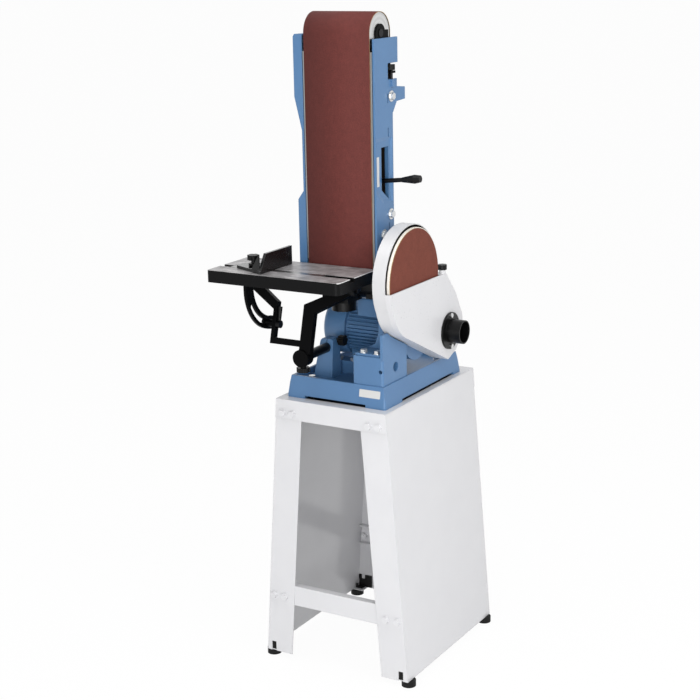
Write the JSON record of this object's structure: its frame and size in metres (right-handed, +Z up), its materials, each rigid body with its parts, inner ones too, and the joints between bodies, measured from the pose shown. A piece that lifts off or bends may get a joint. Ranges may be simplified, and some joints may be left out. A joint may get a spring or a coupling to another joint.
{
  "type": "belt and disc sander",
  "caption": "Stationary sander: upright wide belt on a tilting arm, side disc in a guard with dust port, tilting table with miter gauge, on a sheet-metal stand.",
  "frame": {"origin": "middle of the footprint box, on the floor under the rubber feet", "axes": "+Z up, -Y towards the user at the belt, +X towards the disc"},
  "size_m": [0.4194, 0.4688, 1.358],
  "materials": {
    "stand_white": "satin",
    "guard_white": "satin",
    "blue_paint": "satin",
    "black_paint": "satin",
    "table_iron": "ground top",
    "black_plastic": "matte",
    "green_plastic": "gloss",
    "red_plastic": "gloss",
    "black_rubber": "matte",
    "abrasive": "grit",
    "zinc_steel": "zinc plated",
    "machined_steel": "ground",
    "spring_steel": "oiled",
    "stator_iron": "laminated",
    "aluminium": "turned"
  },
  "bodies": {
    "stand": {"stand_left_panel": "stand_white", "stand_right_panel": "stand_white", "stand_top_plate": "stand_white", "stand_front_crossbar": "stand_white", "stand_rear_crossbar": "stand_white", "stand_bolts": "zinc_steel", "stand_feet": "black_plastic", "base_casting": "blue_paint", "machine_bolts": "zinc_steel", "spindle_headstock": "blue_paint", "spindle_bearings": "machined_steel", "motor_housing": "blue_paint", "motor_fan_cover": "blue_paint", "motor_terminal_box": "blue_paint", "cable_glands": "black_plastic", "motor_stator": "stator_iron", "motor_bearings": "machined_steel", "drive_belt": "black_rubber", "pulley_cover": "blue_paint", "disc_guard": "guard_white", "disc_front_cover": "guard_white", "dust_port": "black_plastic", "belt_dust_hood": "black_plastic", "switch_box": "black_plastic"},
    "spindle": {"spindle": "machined_steel", "drive_drum": "aluminium", "disc_plate": "aluminium", "abrasive_disc": "abrasive", "drum_pulley": "aluminium"},
    "motor_rotor": {"motor_rotor": "machined_steel", "motor_fan": "black_plastic", "motor_pulley": "aluminium"},
    "belt_arm": {"arm_frame": "blue_paint", "platen": "machined_steel", "arm_bolts": "zinc_steel", "arm_side_cover": "blue_paint", "sanding_belt": "abrasive", "tension_spring": "spring_steel"},
    "tension_lever": {"tension_lever": "machined_steel", "tension_lever_grip": "black_plastic"},
    "tension_carriage": {"tension_stem": "machined_steel"},
    "idler_yoke": {"idler_fork": "black_paint", "idler_axle": "machined_steel"},
    "idler": {"idler_roller": "aluminium", "idler_bearings": "machined_steel"},
    "tracking_knob": {"tracking_knob": "black_plastic"},
    "table_support": {"support_rod": "machined_steel", "table_bracket": "black_paint", "table_pivot_bolts": "zinc_steel"},
    "table": {"table": "table_iron", "table_quadrant": "black_paint"},
    "tilt_lock": {"tilt_lock_lever": "black_plastic"},
    "rod_clamp": {"rod_clamp_knob": "black_plastic"},
    "rod_lock": {"rod_lock_knob": "black_plastic"},
    "guard_knob": {"guard_knob": "black_plastic"},
    "miter_slide": {"miter_bar": "machined_steel"},
    "miter_head": {"miter_fence": "black_paint"},
    "miter_knob": {"miter_knob": "black_plastic"},
    "start_button": {"start_button": "green_plastic"},
    "stop_button": {"stop_button": "red_plastic"}
  },
  "joints": [
    {"name": "spindle_spin", "type": "hinge", "parent": "stand", "child": "spindle", "pos_m": [0.02925, -0.04145, 0.835], "axis": [1, 0, 0], "continuous": true},
    {"name": "motor_spin", "type": "hinge", "parent": "stand", "child": "motor_rotor", "pos_m": [0.02925, 0.03155, 0.705], "axis": [1, 0, 0], "continuous": true},
    {"name": "arm_tilt", "type": "hinge", "parent": "stand", "child": "belt_arm", "pos_m": [0.09475, -0.04145, 0.835], "axis": [-1, 0, 0], "range_deg": [0, 90]},
    {"name": "tension_travel", "type": "slide", "parent": "belt_arm", "child": "tension_carriage", "axis": [0, 0, 1], "range_m": [-0.0058, 0], "stiffness_N_per_m": 15000, "springref_m": 0.012, "deforming": ["sanding_belt", "tension_spring"]},
    {"name": "tension_lever_turn", "type": "hinge", "parent": "belt_arm", "child": "tension_lever", "pos_m": [0.02725, -0.04145, 1.021], "axis": [0, -1, 0], "range_deg": [0, 24.47]},
    {"name": "tracking_turn", "type": "hinge", "parent": "belt_arm", "child": "tracking_knob", "pos_m": [0.09525, -0.00995, 1.245], "axis": [0, 0, 1], "range_deg": [-360, 360], "deforming": ["sanding_belt"]},
    {"name": "tracking_tilt", "type": "hinge", "parent": "tension_carriage", "child": "idler_yoke", "pos_m": [0.01325, -0.04145, 1.246], "axis": [0, -1, 0], "range_deg": [-0.48, 0.48], "deforming": ["sanding_belt"]},
    {"name": "idler_spin", "type": "hinge", "parent": "idler_yoke", "child": "idler", "pos_m": [0.01325, -0.04145, 1.31651], "axis": [1, 0, 0], "continuous": true},
    {"name": "rod_slide", "type": "slide", "parent": "stand", "child": "table_support", "axis": [0, 1, 0], "range_m": [-0.02, 0.002]},
    {"name": "table_tilt", "type": "hinge", "parent": "table_support", "child": "table", "pos_m": [-0.05475, -0.12895, 0.822], "axis": [1, 0, 0], "range_deg": [0, 45]},
    {"name": "tilt_lock_turn", "type": "hinge", "parent": "table_support", "child": "tilt_lock", "pos_m": [-0.10075, -0.15134, 0.73845], "axis": [1, 0, 0], "range_deg": [-30, 60]},
    {"name": "rod_clamp_turn", "type": "hinge", "parent": "table_support", "child": "rod_clamp", "pos_m": [-0.03075, -0.16445, 0.65], "axis": [0, 0, 1], "range_deg": [-180, 0]},
    {"name": "rod_lock_turn", "type": "hinge", "parent": "stand", "child": "rod_lock", "pos_m": [-0.00075, -0.05345, 0.692], "axis": [1, 0, 0], "range_deg": [-180, 0]},
    {"name": "guard_knob_turn", "type": "hinge", "parent": "stand", "child": "guard_knob", "pos_m": [0.15975, 0.08005, 0.835], "axis": [0, 0, 1], "range_deg": [-180, 0]},
    {"name": "miter_travel", "type": "slide", "parent": "table", "child": "miter_slide", "axis": [1, 0, 0], "range_m": [-0.06, 0.12]},
    {"name": "miter_swivel", "type": "hinge", "parent": "miter_slide", "child": "miter_head", "pos_m": [-0.10075, -0.18045, 0.86], "axis": [0, 0, 1], "range_deg": [-45, 45]},
    {"name": "miter_knob_turn", "type": "hinge", "parent": "miter_slide", "child": "miter_knob", "pos_m": [-0.13275, -0.18045, 0.87], "axis": [0, 0, 1], "range_deg": [-180, 0]},
    {"name": "start_press", "type": "slide", "parent": "stand", "child": "start_button", "axis": [1, 0, 0], "range_m": [0, 0.004], "stiffness_N_per_m": 600, "springref_m": -0.002},
    {"name": "stop_press", "type": "slide", "parent": "stand", "child": "stop_button", "axis": [1, 0, 0], "range_m": [0, 0.004], "stiffness_N_per_m": 600, "springref_m": -0.002}
  ],
  "couplings": [
    {"joint": "motor_spin", "follows": "spindle_spin", "ratio": 1.0769},
    {"joint": "idler_spin", "follows": "spindle_spin", "ratio": 1},
    {"joint": "tension_lever_turn", "follows": "tension_travel", "rad_per_m": -73.648},
    {"joint": "tracking_turn", "follows": "tracking_tilt", "ratio": 736.03}
  ]
}
